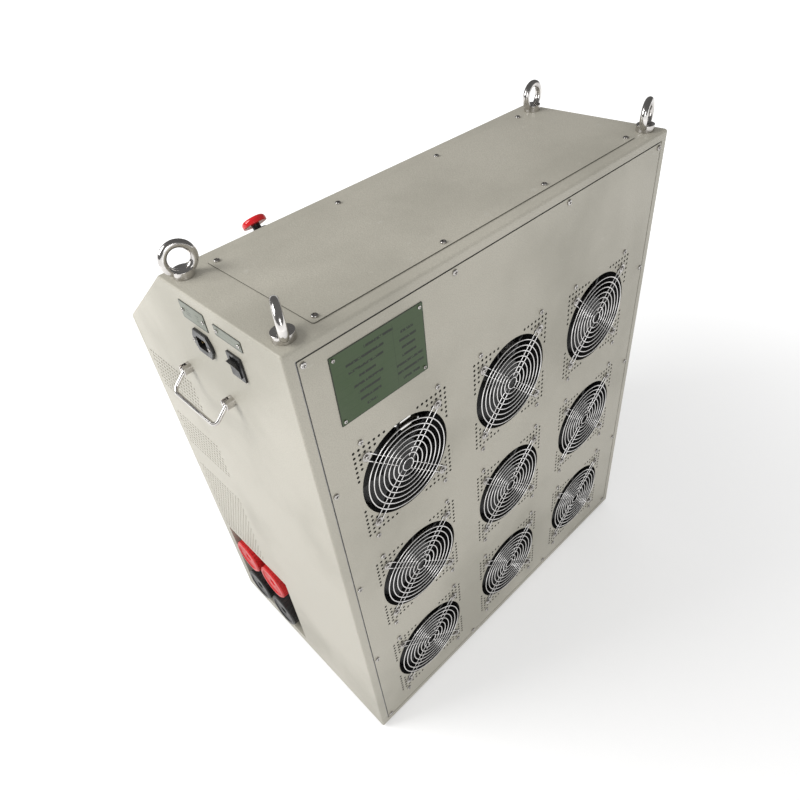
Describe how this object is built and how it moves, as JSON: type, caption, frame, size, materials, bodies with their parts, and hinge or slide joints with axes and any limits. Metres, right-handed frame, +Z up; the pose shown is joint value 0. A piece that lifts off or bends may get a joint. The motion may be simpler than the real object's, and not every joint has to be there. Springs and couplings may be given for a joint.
{
  "type": "generator load bank",
  "caption": "Air-cooled resistive load bank in a sheet-metal cabinet with sloped console, rear fan wall, recessed terminals and lifting eyes.",
  "frame": {"origin": "on the floor under the middle of the cabinet, in the plane of the feet", "axes": "+Z up, +Y towards the rear fan wall, +X towards the side with the terminals and inlet"},
  "size_m": [0.8804, 0.5054, 1.009],
  "materials": {
    "cabinet_paint": "fine textured powder coat",
    "zinc_frame": "galvanised",
    "fan_black": "satin",
    "rotor_black": "satin",
    "guard_chrome": "bright",
    "terminal_red": "moulded",
    "terminal_black": "moulded",
    "brass": "turned",
    "board_grey": "laminate",
    "handle_steel": "polished",
    "eye_steel": "polished stainless",
    "stop_red": "gloss",
    "switch_black": "satin",
    "go_green": "gloss",
    "plate_green": "printed plate",
    "screw_steel": "nickel plated",
    "foot_rubber": "matte",
    "element_steel": "heat tinted",
    "meter_face": "gloss window"
  },
  "bodies": {
    "cabinet": {"base_pan": "cabinet_paint", "side_panel_right": "cabinet_paint", "side_panel_left": "cabinet_paint", "front_panel": "cabinet_paint", "console_panel": "cabinet_paint", "top_panel": "cabinet_paint", "top_cover": "cabinet_paint", "rear_panel": "cabinet_paint", "rear_frame": "zinc_frame", "fan_frame_1": "fan_black", "fan_frame_2": "fan_black", "fan_frame_3": "fan_black", "fan_frame_4": "fan_black", "fan_frame_5": "fan_black", "fan_frame_6": "fan_black", "fan_frame_7": "fan_black", "fan_frame_8": "fan_black", "fan_frame_9": "fan_black", "finger_guards": "guard_chrome", "terminal_studs": "brass", "terminal_box": "cabinet_paint", "terminal_board": "board_grey", "handle_posts": "handle_steel", "eye_bolts": "eye_steel", "estop_housing": "switch_black", "rocker_bezel": "switch_black", "inlet_socket": "switch_black", "inlet_pins": "brass", "rating_plates": "plate_green", "panel_screws": "screw_steel", "small_screws": "screw_steel", "rubber_feet": "foot_rubber", "resistor_tubes": "element_steel", "resistor_rack": "zinc_frame", "power_meter": "meter_face", "button_housings": "screw_steel"},
    "fan_1": {"fan_rotor_1": "rotor_black"},
    "fan_2": {"fan_rotor_2": "rotor_black"},
    "fan_3": {"fan_rotor_3": "rotor_black"},
    "fan_4": {"fan_rotor_4": "rotor_black"},
    "fan_5": {"fan_rotor_5": "rotor_black"},
    "fan_6": {"fan_rotor_6": "rotor_black"},
    "fan_7": {"fan_rotor_7": "rotor_black"},
    "fan_8": {"fan_rotor_8": "rotor_black"},
    "fan_9": {"fan_rotor_9": "rotor_black"},
    "washer_1": {"terminal_washer_1": "brass"},
    "knob_1": {"terminal_knob_1": "terminal_red"},
    "washer_2": {"terminal_washer_2": "brass"},
    "knob_2": {"terminal_knob_2": "terminal_red"},
    "washer_3": {"terminal_washer_3": "brass"},
    "knob_3": {"terminal_knob_3": "terminal_black"},
    "washer_4": {"terminal_washer_4": "brass"},
    "knob_4": {"terminal_knob_4": "terminal_black"},
    "handle_right": {"handle_bail_right": "handle_steel"},
    "handle_left": {"handle_bail_left": "handle_steel"},
    "estop_plunger": {"estop_stem": "switch_black"},
    "estop_button": {"estop_head": "stop_red"},
    "rocker": {"rocker_key": "switch_black"},
    "start": {"start_button": "go_green"},
    "stop": {"stop_button": "stop_red"}
  },
  "joints": [
    {"name": "fan_1_spin", "type": "hinge", "parent": "cabinet", "child": "fan_1", "pos_m": [0.247, 0.22, 0.668], "axis": [0, 1, 0], "continuous": true},
    {"name": "fan_2_spin", "type": "hinge", "parent": "cabinet", "child": "fan_2", "pos_m": [0.005, 0.22, 0.668], "axis": [0, 1, 0], "continuous": true},
    {"name": "fan_3_spin", "type": "hinge", "parent": "cabinet", "child": "fan_3", "pos_m": [-0.237, 0.22, 0.668], "axis": [0, 1, 0], "continuous": true},
    {"name": "fan_4_spin", "type": "hinge", "parent": "cabinet", "child": "fan_4", "pos_m": [0.247, 0.22, 0.4135], "axis": [0, 1, 0], "continuous": true},
    {"name": "fan_5_spin", "type": "hinge", "parent": "cabinet", "child": "fan_5", "pos_m": [0.005, 0.22, 0.4135], "axis": [0, 1, 0], "continuous": true},
    {"name": "fan_6_spin", "type": "hinge", "parent": "cabinet", "child": "fan_6", "pos_m": [-0.237, 0.22, 0.4135], "axis": [0, 1, 0], "continuous": true},
    {"name": "fan_7_spin", "type": "hinge", "parent": "cabinet", "child": "fan_7", "pos_m": [0.247, 0.22, 0.159], "axis": [0, 1, 0], "continuous": true},
    {"name": "fan_8_spin", "type": "hinge", "parent": "cabinet", "child": "fan_8", "pos_m": [0.005, 0.22, 0.159], "axis": [0, 1, 0], "continuous": true},
    {"name": "fan_9_spin", "type": "hinge", "parent": "cabinet", "child": "fan_9", "pos_m": [-0.237, 0.22, 0.159], "axis": [0, 1, 0], "continuous": true},
    {"name": "knob_1_travel", "type": "slide", "parent": "cabinet", "child": "washer_1", "axis": [1, 0, 0], "range_m": [0, 0.012]},
    {"name": "knob_1_turn", "type": "hinge", "parent": "washer_1", "child": "knob_1", "pos_m": [0.38, -0.163, 0.1985], "axis": [1, 0, 0], "range_deg": [0, 2160]},
    {"name": "knob_2_travel", "type": "slide", "parent": "cabinet", "child": "washer_2", "axis": [1, 0, 0], "range_m": [0, 0.012]},
    {"name": "knob_2_turn", "type": "hinge", "parent": "washer_2", "child": "knob_2", "pos_m": [0.38, -0.067, 0.1985], "axis": [1, 0, 0], "range_deg": [0, 2160]},
    {"name": "knob_3_travel", "type": "slide", "parent": "cabinet", "child": "washer_3", "axis": [1, 0, 0], "range_m": [0, 0.012]},
    {"name": "knob_3_turn", "type": "hinge", "parent": "washer_3", "child": "knob_3", "pos_m": [0.38, -0.163, 0.0875], "axis": [1, 0, 0], "range_deg": [0, 2160]},
    {"name": "knob_4_travel", "type": "slide", "parent": "cabinet", "child": "washer_4", "axis": [1, 0, 0], "range_m": [0, 0.012]},
    {"name": "knob_4_turn", "type": "hinge", "parent": "washer_4", "child": "knob_4", "pos_m": [0.38, -0.067, 0.0875], "axis": [1, 0, 0], "range_deg": [0, 2160]},
    {"name": "handle_right_swing", "type": "hinge", "parent": "cabinet", "child": "handle_right", "pos_m": [0.4095, 0.0085, 0.7945], "axis": [0, 1, 0], "range_deg": [-42, 48]},
    {"name": "handle_left_swing", "type": "hinge", "parent": "cabinet", "child": "handle_left", "pos_m": [-0.4095, 0.0085, 0.7945], "axis": [0, -1, 0], "range_deg": [-42, 48]},
    {"name": "estop_push", "type": "slide", "parent": "cabinet", "child": "estop_plunger", "axis": [0, 0.579, -0.8153], "range_m": [0, 0.006], "stiffness_N_per_m": 900},
    {"name": "estop_twist", "type": "hinge", "parent": "estop_plunger", "child": "estop_button", "pos_m": [0.203, -0.10667, 0.93532], "axis": [0, 0.579, -0.8153], "range_deg": [0, 35], "stiffness_Nm_per_rad": 0.05},
    {"name": "rocker_tip", "type": "hinge", "parent": "cabinet", "child": "rocker", "pos_m": [0.396, 0.128, 0.885], "axis": [0, -1, 0], "range_deg": [0, 24]},
    {"name": "start_push", "type": "slide", "parent": "cabinet", "child": "start", "axis": [0, 0.579, -0.8153], "range_m": [0, 0.003], "stiffness_N_per_m": 600},
    {"name": "stop_push", "type": "slide", "parent": "cabinet", "child": "stop", "axis": [0, 0.579, -0.8153], "range_m": [0, 0.003], "stiffness_N_per_m": 600}
  ],
  "couplings": [
    {"joint": "knob_1_travel", "follows": "knob_1_turn", "m_per_rad": 0.00031831},
    {"joint": "knob_2_travel", "follows": "knob_2_turn", "m_per_rad": 0.00031831},
    {"joint": "knob_3_travel", "follows": "knob_3_turn", "m_per_rad": 0.00031831},
    {"joint": "knob_4_travel", "follows": "knob_4_turn", "m_per_rad": 0.00031831}
  ]
}
